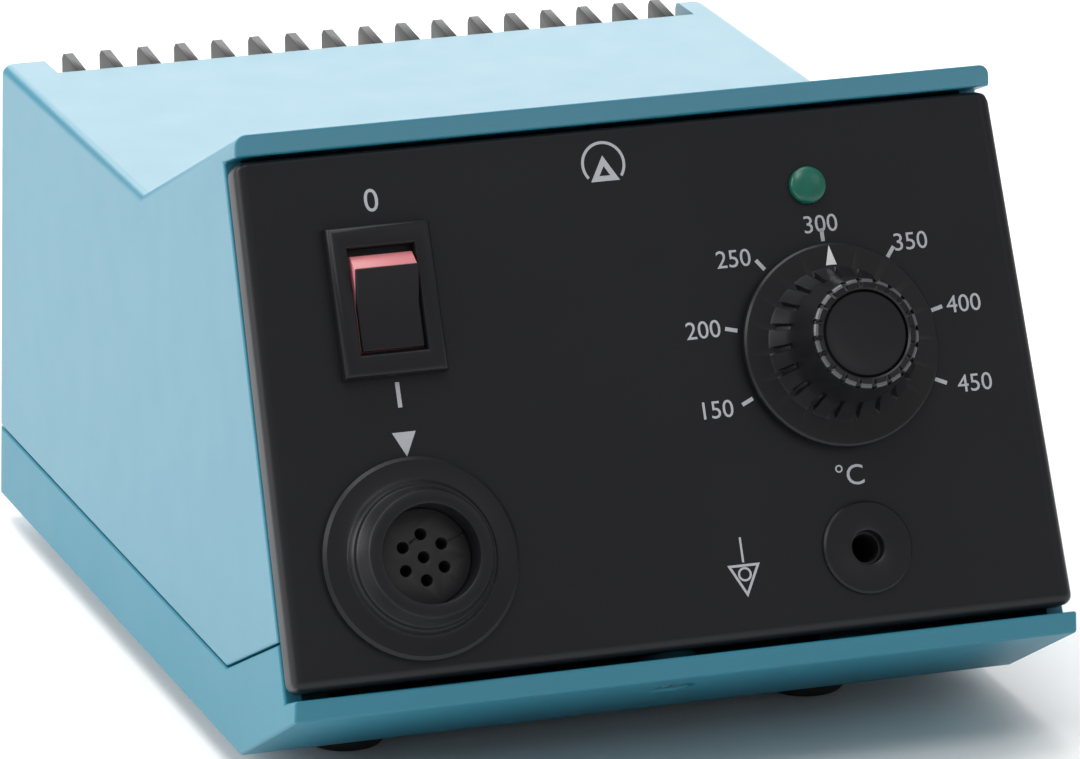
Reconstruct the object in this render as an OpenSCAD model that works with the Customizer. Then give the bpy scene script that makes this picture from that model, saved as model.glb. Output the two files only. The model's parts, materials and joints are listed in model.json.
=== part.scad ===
/* [Housing] */
// Width across the bottom of the base
body_w = 115; // [100:1:140]
// Depth from the rear face to the front edge of the lower lip
body_d = 150.6; // [145:0.2:180]
// Height of the level rear part of the top, above the base
rear_h = 67; // [66:1:82]
// Height of the front lip, above the base
lip_h = 87.5; // [86:0.5:106]
// Length of the level rear part of the top
flat_len = 74.6; // [65:0.2:85]
// Lean of each side wall from the vertical, in degrees
side_draft = 1.5; // [0.5:0.1:2.5]
// Wall thickness of cover and base
wall = 2.5; // [2:0.1:3]
// Radius of the upright rear corners
corner_r = 2; // [1:0.1:6]
// Height of the front face of the overhanging lip
lip_face = 3.2; // [2.5:0.1:4]

/* [Base] */
// Height of the joint between base and cover
joint_h = 10.5; // [9:0.5:12]
// Length of the level part of the bottom
floor_len = 125.6; // [118:0.2:130]
// Height of the lower lip's bottom edge
low_lip_z = 13; // [12:0.5:15]
// Height of the lower lip's front face
low_lip_face = 3.2; // [2.5:0.1:4]
// Depth at which the joint line starts to rise towards the front
joint_bend = 118.6; // [112:0.2:120]
// Where the joint line meets the back of the front panel, along the panel
joint_v = 7.3; // [6:0.1:9]
// Radius of the rubber feet
foot_r = 5.7; // [4:0.1:7]
// Height of the rubber feet
foot_h = 4; // [3:0.5:6]
// Distance of the front feet from the rear face
foot_front = 113.6; // [105:0.2:116]
// Distance of the rear feet from the rear face
foot_rear = 24; // [22:1:34]

/* [Front panel] */
// Lean of the front panel from the vertical, in degrees
tilt = 24.65; // [20:0.05:28]
// Depth of the panel's rim, which stands in front of the cover
panel_rim = 5.5; // [4.5:0.1:7]
// Thickness of the panel's face
panel_face = 2.5; // [2:0.1:3]
// Open gap between the panel's ends and the lips
panel_gap = 0.8; // [0.5:0.1:1.2]

/* [Controls] */
// Distance from the panel's left edge to the switch and socket column
left_column = 20.6; // [18:0.1:24]
// Distance from the panel's right edge to the dial column
right_column = 30; // [27:0.1:34]
// Height of the iron socket up the panel
socket_v = 16.3; // [16:0.1:18]
// Distance of the switch below the panel's top edge
switch_drop = 21.1; // [19:0.1:22]
// Distance of the dial below the panel's top edge
dial_drop = 33.8; // [31:0.1:35]
// Distance of the lamp below the panel's top edge
lamp_drop = 11; // [9:0.1:12]
// Sideways offset of the lamp from the dial column
lamp_shift = 1.2; // [0:0.1:2]
// Height of the earth bonding jack up the panel
jack_v = 11; // [9:0.1:12]
// Diameter of the dial's skirt
skirt_d = 28.5; // [26:0.1:30]
// Height of the dial above the panel
dial_h = 12.3; // [11:0.1:14]
// Number of grip ribs round the dial
rib_count = 20; // [12:1:30]
// Diameter of the dial shaft
shaft_d = 6; // [4:0.1:6.4]
// Outer diameter of the socket flange
flange_d = 28; // [26:0.1:30]
// Diameter of the socket mouth
mouth_d = 13.6; // [12:0.1:14]
// How far the socket mouth stands out of the panel
mouth_h = 6; // [5:0.1:8]
// Diameter of the status lamp
lamp_d = 5.2; // [3:0.1:6]
// Diameter of the hole in the bonding jack
jack_bore = 4; // [3.5:0.1:4.2]
// Width of the switch frame
switch_w = 15; // [14:0.1:16]
// Length of the switch frame
switch_l = 21; // [20:0.1:22]
// Swing of the rocker between its two positions, in degrees
rocker_swing = 20; // [16:1:22]

/* [Rear] */
// Depth of the notch that the cooling fins fill
notch_d = 8.5; // [7:0.1:10]
// Width of the cover that is left beside the notch
notch_side = 7.2; // [6:0.1:9]
// Distance of the notch from the middle, towards the right
notch_shift = 1.2; // [-1.2:0.1:1.2]
// Spacing of the cooling fins
fin_pitch = 5.82; // [5:0.01:7]
// Thickness of a cooling fin
fin_t = 1.4; // [1:0.1:1.8]
// Height of the fins' rear ends above the level part of the top
fin_rise = 0.8; // [0:0.1:1]
// Height at which the fins start, above the base
fin_z = 42; // [41.5:0.5:46]
// Thickness of the rear panel
rear_t = 2.5; // [2:0.1:3]

/* [Transformer] */
// Width of the laminated core
core_w = 66; // [60:1:66]
// Height of the laminated core
core_h = 52; // [48:1:55]
// Thickness of the lamination stack
stack_t = 34; // [28:1:36]

/* [Hidden] */
$fn = 64;

fit = 0.05;          // clearance of a turning or seated fit
gap = 0.3;           // clearance between pieces that only pass each other
cut = 0.2;           // how far a cutter runs past the face it opens
teal = [0.45, 0.70, 0.78];
black = [0.13, 0.14, 0.15];

// Front panel: its lower front edge, its length up the slope and its upper front edge
panel_back = 0.2;    // how far the panel's edges lie behind the lips
panel_y0 = -body_d + panel_back;
panel_z0 = low_lip_z + low_lip_face + panel_gap + gap;
panel_z1 = lip_h - lip_face - panel_gap * sin(tilt) - panel_back;
panel_len = (panel_z1 - panel_z0) / cos(tilt);
lip_y = panel_y0 + panel_len * sin(tilt);

// Places of the controls on the panel: u across it, v up it
column_l = -body_w / 2 + left_column;
column_r = body_w / 2 - right_column;
switch_v = panel_len - switch_drop;
dial_v = panel_len - dial_drop;
lamp_v = panel_len - lamp_drop;

// Seats of the moving parts
rocker_pivot = -2;   // height of the rocker's axis above the panel face
well_w = switch_w - 2.2;
well_l = switch_l - 2;
rocker_w = well_w - 3.8;
rocker_half = well_l / 2 - 2.4;
frame_h = 2;
skirt_gap = 0.5;
shaft_top = dial_h - 3;
board_h = -14;       // front face of the control board, behind the panel face
board_t = 1.6;
board_w = 57;
board_l = 56;
board_u = column_r - 11;
board_v = dial_v - 0.4;
board_back = board_h - board_t;
board_inset = 4;

// Cover fixings
post_r = 3.5;
post_x = body_w / 2 - 7;
post_ys = [-15, lip_y + 13.3];
pad_h = 4.5;
screw_r = 1.2;
pilot_r = screw_r + fit;
hole_r = screw_r + 0.5;
head_r = screw_r + 1.6;

// Rear connector group, on the plate's rear face
plate_y = -notch_d + rear_t;
inlet_x = -20;
cavity_w = 24.4;
inlet_w = cavity_w + 6.6;
inlet_hole_w = inlet_w - 3;
inlet_h = 29;
inlet_z = 26;
cavity_h = 16.6;
cavity_d = 16;
drawer_w = 23;
drawer_h = 6.6;
drawer_l = 17;
fuse_r = 2.6;
fuse_l = 20;

// Transformer place
core_y = -62;
core_z = wall + 2.5;
leg_w = core_w / 3;
window_w = core_w / 6;
window_h = core_h - leg_w;
bobbin_t = 1.2;
strap_t = 1.2;
coil_out = 9.6;

// The row's origin is under the middle of the whole assembly
mouth_wall = 1.9;
mouth_ring = mouth_d / 2 + mouth_wall;
front_y = panel_y0 + (socket_v - mouth_ring) * sin(tilt) - mouth_h * cos(tilt);
origin_y = min(front_y, -body_d) / 2;

// Small parts of the housing
foot_left = 19;      // inset of the left feet from the base's side
foot_right = 27;     // inset of the right feet
foot_xs = [-body_w / 2 + foot_left, body_w / 2 - foot_right];
stem_r = 1.9;
stem_out = 1.2;
rib_t = 2;
rim_t = 3;
pad_r = 5;
pilot_l = 10;
screw_l = 9;
head_t = 1.8;
head_seat = 2.2;
vent_side = 3;
vent_pitch = 8;
vent_w = 3;
vent_l = 16;
vent_y = -101;
chamfer_angle = -atan2(low_lip_z, body_d - floor_len);
panel_screw_run = 9;
panel_pad_r = 4;
panel_pad_h = 4.5;
lug_w = 9;
lug_l = 9.5;
lug_depth = 15;
boss_r = 3;
board_screw_l = 8;

// Smallest radius of an inner upright corner
inner_r = 0.5;

// Rear panel
notch_half = body_w / 2 - notch_side;
plate_half = body_w / 2 - wall - rear_h * tan(side_draft) - gap;
plate_drop = wall + 1;
hook_t = 1;
fin_corner = 1;
fin_top = rear_h + fin_rise;
fin_count = floor(2 * notch_half / fin_pitch);
fin_xs = [for (i = [0:fin_count - 1]) notch_shift + (i - (fin_count - 1) / 2) * fin_pitch];
vent_slot = 2.4;

// Switch
well_depth = 16;
floor_t = 1.5;
pin_r = 1.2;
face_t = 0.8;
rocker_top = [[0.9 - rocker_half, 3.9], [0, 3], [rocker_half - 1.9, 4.2]];
rocker_lower = [[0.5 - rocker_half, -1], [0.3 - rocker_half, 2.2]];
rocker_belly = [[3, -2.2], [-3, -2.2]];
plunger_l = 5.2;
plunger_r = 1;
lever_drop = 7.2;
lever_w = 5;
lever_l = 2 * rocker_half - 2.2;
contact_v = lever_l / 2 - 1.2;
lever_t = 0.8;
lever_ratio = -0.4;
blade_w = 4.8;
blade_t = 0.8;
blade_vs = [0, contact_v];
lever_under = rocker_pivot - lever_drop - lever_t / 2;
blade_tops = [lever_under - 0.4, lever_under - 1.3];
blade_depth = 24;

// Dial
skirt_t = 1.4;
grip_r = skirt_d / 2 - 3.65;
crown_r = 7.6;
grip_h = dial_h - skirt_gap - skirt_t;
grip_slope = atan2(grip_r - crown_r, grip_h);
groove_r = 0.7;
groove_out = 0.15;
cap_r = 6;
cap_sink = 1.8;
sensor_r = 8.5;
sensor_h = 7;
collar_r = shaft_d / 2 + 2;
wiper_h = board_h + 4;
wiper_t = 1.5;
key_r = 0.6;
lamp_u = column_r - lamp_shift;
lamp_back = 8;
lamp_rim = 0.6;
lamp_collar = 0.5;
lamp_dome = 0.8;

// Iron socket and bonding jack
flange_t = 1.3;
step_r = mouth_ring + 1.7;
step_h = 2.6;
mouth_taper = 0.9;
barrel_r = mouth_ring + 0.8;
barrel_l = 14;
insert_h = mouth_h - 4.1;
contact_sink = 6;
tail_l = 4;          // length of the solder tails behind a connector
contact_r = 0.75;
contact_pcr = mouth_d / 2 - 3.6;
socket_nut_r = barrel_r + 3;
nut_t = 2.5;
sleeve_r = jack_bore / 2 + 0.9;
jack_r = sleeve_r + 1.5;
jack_flange_r = jack_r + 2.1;
jack_flange_t = 0.7;
jack_l = 12.5;

// Transformer
coil_split = window_h / 2 + 2;
strap_l = 28;
strap_foot = 10;
strap_screw_r = 1.6;
strap_pilot_r = strap_screw_r + fit;
strap_head_r = 3.4;
strap_screw_x = core_w / 2 + 5.8;
strap_screw_y = 8;

// Control board
solder_w = 2.54;     // spacing of the lamp's two leads
capacitor_u = -18;
capacitor_vs = [-16, -3];
capacitor_r = 5;
capacitor_h = 12;
triac_w = 10;
triac_t = 4.5;
triac_h = 9;
tab_t = 1.3;
tab_h = 15;
chip_l = 9.5;
chip_w = 6.4;
chip_h = 3.4;
terminal_w = 12;
terminal_l = 8;
terminal_h = 10;
board_head_r = 2.5;

// Inlet
flange_y = 2;
inlet_l = 24;
well_h = 27;
cavity_z = -4.6;
drawer_z = 9;
drawer_lip = 1.2;
drawer_floor = 1;
drawer_edge = 0.8;   // how far the drawer's front overhangs its body
grip_w = 6;
grip_cut = 1.2;
fuse_y = flange_y - drawer_l + 5;
cap_l = 5;
cap_end = 1;
cap_t = 0.3;
tube_t = 0.5;
clip_w = 3;
pin_w = 2;
pin_h = 4;
pin_places = [[-7, -8.6], [7, -8.6], [0, -4.4]];

// A point [y, z] that lies v up the front panel and h out of its face
function on_slope(v, h) = [
    panel_y0 + v * sin(tilt) - h * cos(tilt),
    panel_z0 + v * cos(tilt) + h * sin(tilt)
];
function cross2(a, b) = a.x * b.y - a.y * b.x;
// Where the line through p along d meets the line through q along e
function meet(p, d, q, e) = p + d * cross2(q - p, e) / cross2(d, e);
function unit(v) = v / norm(v);
function right_of(d) = [d.y, -d.x];
// The outline moved inwards, edge i by depth[i]; edge i runs from point i to the next
function inset(pts, depth) = let(n = len(pts)) [
    for (i = [0:n - 1])
        let(
            p = pts[(i + n - 1) % n], q = pts[i], r = pts[(i + 1) % n],
            d = unit(q - p), e = unit(r - q)
        )
        meet(q + depth[(i + n - 1) % n] * right_of(d), d, q + depth[i] * right_of(e), e)
];

base_outline = [
    [0, 0], [-floor_len, 0], [-body_d, low_lip_z], [-body_d, low_lip_z + low_lip_face],
    on_slope(-panel_gap, -panel_rim), on_slope(joint_v, -panel_rim),
    [-joint_bend, joint_h], [0, joint_h]
];
cover_outline = [
    [0, joint_h], [-joint_bend, joint_h], on_slope(joint_v, -panel_rim),
    on_slope(panel_len + panel_gap, -panel_rim), [lip_y, lip_h - lip_face], [lip_y, lip_h],
    [-flat_len, rear_h], [0, rear_h]
];
slope_dir = unit([sin(tilt), cos(tilt)]);
chamfer_dir = unit([-body_d + floor_len, low_lip_z]);
roof_dir = unit([-flat_len - lip_y, rear_h - lip_h]);
hull_outline = [
    [0, 0], [-floor_len, 0],
    meet([-floor_len, 0], chamfer_dir, on_slope(0, -panel_rim), slope_dir),
    meet([lip_y, lip_h], roof_dir, on_slope(0, -panel_rim), slope_dir),
    [-flat_len, rear_h], [0, rear_h]
];
room_outline = inset(hull_outline, [wall, wall, -cut, wall, wall, wall]);

// Puts the housing's frame on the row's origin
module placed() translate([0, -origin_y, foot_h]) children();
// Moves children from the housing's frame onto the front panel, with z out of its face
module sloped(u, v, h = 0)
    translate([0, panel_y0, panel_z0]) rotate([90 - tilt, 0, 0]) translate([u, v, h]) children();
module on_panel(u, v, h = 0) placed() sloped(u, v, h) children();
// A shape in the side view, drawn out to a width across the housing
module across(w = 2 * body_w) rotate([90, 0, 90]) linear_extrude(w, center = true) children();
module block(w, l, h) translate([-w / 2, -l / 2, 0]) cube([w, l, h]);
module ring(r_out, r_in, h) difference() {
    cylinder(r = r_out, h = h);
    translate([0, 0, -cut]) cylinder(r = r_in, h = h + 2 * cut);
}
module box_ring(w_out, l_out, w_in, l_in, h) difference() {
    block(w_out, l_out, h);
    translate([0, 0, -cut]) block(w_in, l_in, h + 2 * cut);
}

// The leaning side walls with their rounded rear corners, moved inwards by depth
module one_side(depth) {
    r = max(corner_r - depth, inner_r);
    far = 3 * body_d;
    translate([-body_w / 2, 0, 0]) rotate([0, side_draft, 0]) translate([depth, 0, -body_w])
        linear_extrude(4 * body_w) {
            translate([0, -far]) square([far, far - depth - r]);
            translate([r, -far]) square([far - r, far - depth]);
            translate([r, -depth - r]) circle(r);
        }
}
module between_sides(depth) intersection() {
    one_side(depth);
    mirror([1, 0, 0]) one_side(depth);
}
module room() intersection() {
    across() polygon(room_outline);
    between_sides(wall);
}
module at_posts() for (x = [-post_x, post_x], y = post_ys) translate([x, y, 0]) children();
module at_feet() for (x = foot_xs, y = [-foot_front, -foot_rear]) translate([x, y, 0]) children();
module at_strap_screws() for (x = [-1, 1], y = [-1, 1])
    translate([x * strap_screw_x, core_y + y * strap_screw_y, 0]) children();
module at_board_corners() for (u = [-1, 1], v = [-1, 1])
    sloped(board_u + u * (board_w / 2 - board_inset), board_v + v * (board_l / 2 - board_inset)) children();
// Along the axis of the screw that holds the front panel from below
module on_chamfer(s = 0) translate([0, -body_d, low_lip_z]) rotate([chamfer_angle, 0, 0])
    translate([0, panel_screw_run, s]) children();

module top_cover() color(teal) placed() difference() {
    union() {
        difference() {
            intersection() {
                across() polygon(cover_outline);
                between_sides(0);
            }
            room();
        }
        intersection() {
            translate([0, 0, pad_h + fit]) at_posts() cylinder(r = post_r, h = lip_h);
            across() polygon(hull_outline);
            between_sides(wall / 2);
        }
        intersection() {
            for (x = [-1, 1], y = post_ys)
                translate([x * (post_x + post_r), y, joint_h + gap]) block(2 * post_r, rib_t, lip_h);
            across() polygon(hull_outline);
            between_sides(wall / 2);
        }
    }
    translate([notch_shift - notch_half, -notch_d, joint_h - cut])
        cube([2 * notch_half, notch_d + cut, lip_h]);
    at_posts() cylinder(r = pilot_r, h = pad_h + pilot_l);
}

module base_tray() color(teal) placed() difference() {
    union() {
        difference() {
            intersection() {
                across() polygon(base_outline);
                between_sides(0);
            }
            room();
        }
        intersection() {
            at_posts() cylinder(r = pad_r, h = pad_h);
            between_sides(wall / 2);
        }
        at_strap_screws() cylinder(r = pad_r, h = core_z - strap_t);
        translate([0, core_y, 0]) block(core_w - 2 * window_w, stack_t - wall, core_z);
        on_chamfer(wall / 2) cylinder(r = panel_pad_r, h = panel_pad_h - wall / 2);
    }
    at_posts() {
        translate([0, 0, -cut]) cylinder(r = head_r + gap, h = head_seat + cut);
        cylinder(r = hole_r, h = pad_h + cut);
    }
    at_feet() translate([0, 0, -cut]) cylinder(r = stem_r + fit, h = wall + 2 * cut);
    at_strap_screws() translate([0, 0, wall / 2]) cylinder(r = strap_pilot_r, h = core_z);
    on_chamfer(-cut) {
        cylinder(r = head_r + gap, h = head_seat + cut);
        cylinder(r = hole_r, h = panel_pad_h + 2 * cut);
    }
    for (i = [-vent_side:vent_side])
        translate([i * vent_pitch, vent_y, -cut]) block(vent_w, vent_l, wall + 2 * cut);
}

module front_panel() color(black) placed() difference() {
    union() {
        difference() {
            intersection() {
                sloped(0, panel_len / 2, -panel_rim) block(2 * body_w, panel_len, panel_rim);
                between_sides(0);
            }
            intersection() {
                sloped(0, panel_len / 2, -panel_rim - cut)
                    block(2 * body_w, panel_len - 2 * rim_t, panel_rim - panel_face + cut);
                between_sides(rim_t);
            }
        }
        at_board_corners() translate([0, 0, board_h]) cylinder(r = boss_r, h = -board_h - panel_face / 2);
        sloped(0, panel_gap, -lug_depth) translate([0, lug_l / 2, 0])
            block(lug_w, lug_l, lug_depth - panel_face / 2);
    }
    sloped(column_l, socket_v, -panel_rim) cylinder(r = barrel_r + fit, h = 2 * panel_rim);
    sloped(column_l, switch_v, -panel_rim) block(well_w + 2 * fit, well_l + 2 * fit, 2 * panel_rim);
    sloped(column_r, dial_v, -panel_rim) cylinder(r = shaft_d / 2 + gap, h = 2 * panel_rim);
    sloped(lamp_u, lamp_v, -panel_rim) cylinder(r = lamp_d / 2 + fit, h = 2 * panel_rim);
    sloped(column_r, jack_v, -panel_rim) cylinder(r = jack_r + fit, h = 2 * panel_rim);
    at_board_corners() translate([0, 0, board_h - cut]) cylinder(r = pilot_r, h = board_screw_l);
    on_chamfer(panel_pad_h) cylinder(r = pilot_r, h = pilot_l);
}

module rear_panel() color(black) placed() difference() {
    union() {
        translate([-plate_half, -notch_d, wall + fit])
            cube([2 * plate_half, rear_t, rear_h - 2 * wall - 2 * gap]);
        translate([notch_shift - notch_half + gap, -notch_d, wall + fit])
            cube([2 * (notch_half - gap), rear_t, rear_h - wall - plate_drop]);
        for (x = [-1, 1])
            translate([notch_shift + x * (notch_half + gap + hook_t / 2), -notch_d / 2 - wall / 2, joint_h])
                block(hook_t, notch_d - wall - 2 * fit, rear_h - joint_h - 3 * wall);
        for (x = fin_xs) translate([x, 0, 0]) across(fin_t) polygon([
            [0, fin_z], [-notch_d + fit, fin_z], [-notch_d + fit, rear_h],
            [-fin_corner, fin_top], [0, fin_top - fin_corner]
        ]);
    }
    translate([inlet_x, -notch_d / 2, inlet_z - well_h / 2]) block(inlet_hole_w, 2 * notch_d, well_h);
    for (i = [1:len(fin_xs) - 1])
        translate([(fin_xs[i - 1] + fin_xs[i]) / 2, -notch_d, fin_z + wall])
            block(vent_slot, 3 * rear_t, rear_h - fin_z - 3 * wall);
}

module rubber_feet() color([0.08, 0.08, 0.09]) placed() at_feet() {
    translate([0, 0, -foot_h]) cylinder(r = foot_r, h = foot_h);
    cylinder(r = stem_r, h = wall + stem_out);
    translate([0, 0, wall]) cylinder(r = stem_r + gap, h = stem_out);
}

module cover_screws() color("silver") placed() at_posts() {
    translate([0, 0, head_seat - head_t]) cylinder(r = head_r, h = head_t);
    translate([0, 0, head_seat]) cylinder(r = screw_r, h = screw_l);
}

module panel_screw() color("silver") placed() {
    on_chamfer(head_seat - head_t) cylinder(r = head_r, h = head_t);
    on_chamfer(head_seat) cylinder(r = screw_r, h = screw_l);
}

module at_switch(h = 0) on_panel(column_l, switch_v, h) children();
module side_view(w, turn = 0) rotate([turn, 0, 0]) across(w) children();

module switch_frame() color(black) at_switch() difference() {
    union() {
        block(switch_w, switch_l, frame_h);
        translate([0, 0, -well_depth]) block(well_w, well_l, well_depth);
    }
    translate([0, 0, -well_depth + floor_t])
        block(rocker_w + 2 * gap, 2 * (rocker_half + gap), 2 * well_depth);
    translate([-switch_w, 0, rocker_pivot]) rotate([0, 90, 0]) cylinder(r = pin_r + fit, h = 2 * switch_w);
    for (v = blade_vs) translate([0, v, -well_depth - cut])
        block(blade_w + 2 * fit, blade_t + 2 * fit, floor_t + 2 * cut);
}

module rocker() color([0.8, 0.15, 0.15]) at_switch(rocker_pivot) {
    upper_side = [for (p = [rocker_lower[1], rocker_lower[0]]) [-p.x, p.y]];
    side_view(rocker_w, rocker_swing / 2)
        polygon(concat(rocker_lower, rocker_top, upper_side, rocker_belly));
    translate([-well_w / 2, 0, 0]) rotate([0, 90, 0]) cylinder(r = pin_r, h = well_w);
}

module rocker_face() color(black) at_switch(rocker_pivot) side_view(rocker_w, rocker_swing / 2)
    polygon(concat(rocker_top, [for (i = [2:-1:0]) rocker_top[i] + [0, face_t]]));

module switch_plunger() color("ivory") at_switch(rocker_pivot) rotate([rocker_swing / 2, 0, 0])
    translate([0, 0, -plunger_l]) {
        cylinder(r = plunger_r, h = plunger_l + rocker_belly[0].y);
        sphere(r = plunger_r);
    }

module switch_contact() color("goldenrod") at_switch(rocker_pivot - lever_drop)
    rotate([lever_ratio * rocker_swing / 2, 0, 0]) translate([0, 0, -lever_t / 2]) {
        block(lever_w, lever_l, lever_t);
        translate([0, contact_v, -gap]) cylinder(r = 1, h = gap);
    }

module switch_terminals() color("silver") for (i = [0, 1])
    at_switch(-blade_depth) translate([0, blade_vs[i], 0])
        block(blade_w, blade_t, blade_tops[i] + blade_depth);

module dial_knob() color(black) on_panel(column_r, dial_v) difference() {
    union() {
        translate([0, 0, skirt_gap]) cylinder(d = skirt_d, h = skirt_t);
        translate([0, 0, skirt_gap + skirt_t]) cylinder(r1 = grip_r, r2 = crown_r, h = grip_h);
    }
    for (i = [0:rib_count - 1]) rotate([0, 0, 360 * (i + 0.5) / rib_count])
        translate([grip_r + groove_out, 0, skirt_gap + skirt_t]) rotate([0, -grip_slope, 0])
            translate([0, 0, -groove_r / 4]) cylinder(r = groove_r, h = 2 * grip_h, $fn = 24);
    cylinder(r = shaft_d / 2 + fit / 2, h = shaft_top + fit);
    translate([0, 0, dial_h - cap_sink]) cylinder(r = cap_r + fit, h = cap_sink);
}

module knob_cap() color(black) on_panel(column_r, dial_v, dial_h - cap_sink)
    cylinder(r = cap_r, h = cap_sink - fit);

module dial_shaft() color("silver") on_panel(column_r, dial_v, wiper_h)
    cylinder(d = shaft_d, h = shaft_top - wiper_h);

module dial_wiper() color("goldenrod") on_panel(column_r, dial_v, wiper_h) difference() {
    translate([0, 0, -wiper_t]) cylinder(r = sensor_r - 1.8, h = wiper_t);
    translate([sensor_r - 3.5, 0, -wiper_t - cut]) cylinder(r = key_r, h = wiper_t + 2 * cut);
}

module dial_sensor() color("steelblue") on_panel(column_r, dial_v, board_h) difference() {
    union() {
        cylinder(r = sensor_r, h = sensor_h);
        cylinder(r = collar_r, h = -board_h - panel_face - fit);
    }
    translate([0, 0, 1]) cylinder(r = sensor_r - 1, h = sensor_h - 2);
    translate([0, 0, 1]) cylinder(r = shaft_d / 2 + fit, h = -board_h);
}

module lamp_lens() color([0.1, 0.6, 0.4]) on_panel(lamp_u, lamp_v, -lamp_back) {
    cylinder(r = lamp_d / 2 + lamp_collar, h = 1);
    cylinder(d = lamp_d, h = lamp_back + lamp_rim);
    translate([0, 0, lamp_back + lamp_rim]) intersection() {
        cylinder(d = lamp_d, h = lamp_d);
        translate([0, 0, lamp_dome - lamp_d]) sphere(r = lamp_d);
    }
}

module lamp_leads() color("silver") for (x = [-solder_w / 2, solder_w / 2])
    on_panel(lamp_u + x, lamp_v, board_back - 1)
        cylinder(r = 0.3, h = -board_back + 1 - lamp_back, $fn = 24);

module socket_shell() color(black) on_panel(column_l, socket_v) difference() {
    union() {
        cylinder(d = flange_d, h = flange_t);
        cylinder(r = step_r, h = step_h);
        translate([0, 0, step_h])
            cylinder(r1 = mouth_ring + mouth_taper, r2 = mouth_ring, h = mouth_h - step_h);
        translate([0, 0, -barrel_l]) cylinder(r = barrel_r, h = barrel_l);
    }
    translate([0, 0, -barrel_l - cut]) cylinder(d = mouth_d, h = barrel_l + mouth_h + 2 * cut);
}

module at_contacts() {
    children();
    for (i = [0:5]) rotate([0, 0, 60 * i + 30]) translate([contact_pcr, 0, 0]) children();
}

module socket_insert() color([0.1, 0.1, 0.11]) on_panel(column_l, socket_v, -barrel_l) difference() {
    cylinder(d = mouth_d - 2 * fit, h = barrel_l + insert_h);
    translate([0, 0, -cut]) at_contacts() cylinder(r = contact_r + fit, h = 2 * barrel_l);
}

module socket_contacts() color("gold") on_panel(column_l, socket_v, -barrel_l - tail_l) at_contacts()
    cylinder(r = contact_r, h = barrel_l + tail_l + insert_h - contact_sink);

module socket_nut() color("silver") on_panel(column_l, socket_v, -panel_face - nut_t)
    ring(socket_nut_r, barrel_r + fit, nut_t);

module jack_body() color(black) on_panel(column_r, jack_v) difference() {
    union() {
        cylinder(r = jack_flange_r, h = jack_flange_t);
        translate([0, 0, -jack_l]) cylinder(r = jack_r, h = jack_l);
    }
    translate([0, 0, -jack_l + 1]) cylinder(r = sleeve_r, h = jack_l - 2);
    translate([0, 0, -jack_l + 1]) cylinder(r = jack_bore / 2 + gap, h = 2 * jack_l);
}

module jack_sleeve() color("silver") on_panel(column_r, jack_v, -jack_l + 1)
    ring(sleeve_r - fit / 2, jack_bore / 2, jack_l - 2);

module jack_nut() color("silver") on_panel(column_r, jack_v, -panel_face - nut_t) difference() {
    cylinder(r = jack_r + 2.6, h = nut_t, $fn = 6);
    translate([0, 0, -cut]) cylinder(r = jack_r + fit, h = nut_t + 2 * cut);
}

module at_core() placed() translate([0, core_y, core_z]) children();

module transformer_core() color("dimgray") at_core() difference() {
    block(core_w, stack_t, core_h);
    for (x = [-1, 1]) translate([x * (leg_w + window_w) / 2, 0, window_w])
        block(window_w, 2 * stack_t, window_h);
}

// One layer that goes round the core's middle leg, from r_in to r_out outside the leg
module round_leg(r_out, r_in, z, h) translate([0, 0, window_w + z])
    box_ring(leg_w + 2 * r_out, stack_t + 2 * r_out, leg_w + 2 * r_in, stack_t + 2 * r_in, h);

module transformer_bobbin() color("ivory") at_core() {
    round_leg(fit + bobbin_t, fit, fit, window_h - 2 * fit);
    for (z = [fit, coil_split - bobbin_t / 2, window_h - fit - bobbin_t])
        round_leg(coil_out + gap, fit, z, bobbin_t);
}

module primary_winding() color("chocolate") at_core()
    round_leg(coil_out, bobbin_t + 2 * fit, bobbin_t + 2 * fit, coil_split - 1.5 * bobbin_t - 3 * fit);

module secondary_winding() color("peru") at_core()
    round_leg(coil_out - 1, bobbin_t + 2 * fit, coil_split + bobbin_t / 2 + fit,
        window_h - coil_split - 1.5 * bobbin_t - 3 * fit);

module transformer_strap() color("silver") placed() translate([0, core_y, 0]) difference() {
    union() {
        translate([0, 0, core_z + core_h + fit]) block(core_w + 2 * strap_t, strap_l, strap_t);
        for (x = [-1, 1]) {
            translate([x * (core_w + strap_t + fit) / 2, 0, core_z - strap_t])
                block(strap_t, strap_l, core_h + strap_t + 2 * fit);
            translate([x * (core_w / 2 + fit + strap_foot / 2), 0, core_z - strap_t])
                block(strap_foot, strap_l, strap_t);
        }
    }
    translate([0, -core_y, 0]) at_strap_screws() cylinder(r = strap_screw_r + 2 * gap, h = core_h);
}

module transformer_screws() color("silver") placed() at_strap_screws() {
    translate([0, 0, core_z]) cylinder(r = strap_head_r, h = head_seat);
    translate([0, 0, wall]) cylinder(r = strap_screw_r, h = core_z - wall);
}

module on_board(u, v) on_panel(board_u + u, board_v + v, board_back) rotate([180, 0, 0]) children();

module control_board() color("darkgreen") difference() {
    on_panel(board_u, board_v, board_back) block(board_w, board_l, board_t);
    placed() at_board_corners() translate([0, 0, board_back - cut])
        cylinder(r = hole_r, h = board_t + 2 * cut);
    for (x = [-solder_w / 2, solder_w / 2]) on_panel(lamp_u + x, lamp_v, board_back - cut)
        cylinder(r = 0.4, h = board_t + 2 * cut);
}

module board_screws() color("silver") placed() at_board_corners() translate([0, 0, board_back]) {
    translate([0, 0, -head_t]) cylinder(r = board_head_r, h = head_t);
    cylinder(r = screw_r, h = board_screw_l - 1);
}

module board_capacitors() color("royalblue") for (v = capacitor_vs)
    on_board(capacitor_u, v) cylinder(r = capacitor_r, h = capacitor_h);

module board_triac() color([0.1, 0.1, 0.1]) on_board(16, 14) {
    block(triac_w, triac_t, triac_h);
    translate([0, (triac_t - tab_t) / 2, 0]) block(triac_w, tab_t, tab_h);
}

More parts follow.
